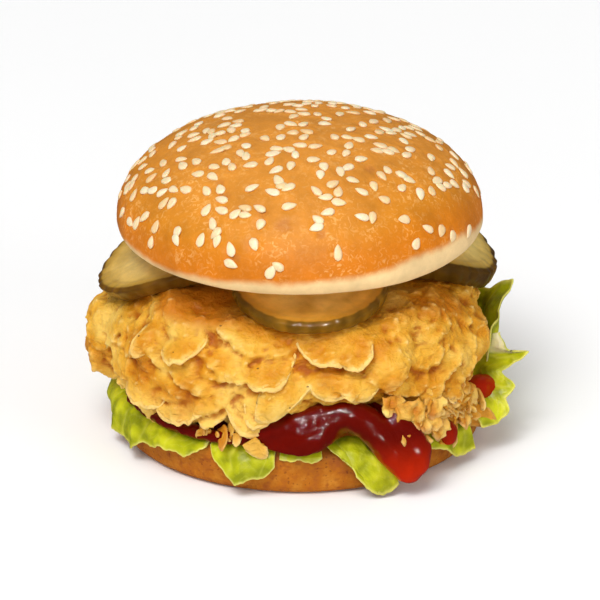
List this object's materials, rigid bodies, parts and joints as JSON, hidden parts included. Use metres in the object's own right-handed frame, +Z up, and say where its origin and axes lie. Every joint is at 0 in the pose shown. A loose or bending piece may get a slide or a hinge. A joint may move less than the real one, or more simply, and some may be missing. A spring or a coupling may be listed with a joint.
{
  "type": "chicken burger",
  "caption": "Fried chicken burger in a sesame bun with pickle slices, red sauce and leaf lettuce, standing on its flat base.",
  "frame": {"origin": "centre of the burger's box on the level it stands on", "axes": "+Z up; -Y towards the front, where the drip of sauce hangs; +X to the right seen from the front"},
  "size_m": [0.1208, 0.1098, 0.0876],
  "materials": {
    "crown_crust": "glazed golden orange bread crust, satin, with a cream unbaked band at the rim and cream sesame seeds",
    "heel_crust": "matt brown bread crust with darker speckles",
    "fried_coating": "golden flaky fried coating, pale on its raised edges and orange brown in its folds",
    "red_sauce": "wet, very glossy dark red sauce",
    "pickle": "wet translucent olive yellow flesh with a dark green brown crinkled skin",
    "lettuce": "thin bright yellow green leaf with pale edges and veins, slightly waxy"
  },
  "bodies": {
    "root": {"crown": "crown_crust", "heel": "heel_crust", "chicken": "fried_coating", "sauce": "red_sauce", "pickle_centre": "pickle", "pickle_left": "pickle", "pickle_right": "pickle", "lettuce_left": "lettuce", "lettuce_front": "lettuce", "lettuce_fringe": "lettuce", "lettuce_tongue": "lettuce", "lettuce_right_front": "lettuce", "lettuce_right_curl": "lettuce", "lettuce_right": "lettuce", "lettuce_back": "lettuce", "lettuce_back_left": "lettuce"}
  },
  "joints": []
}
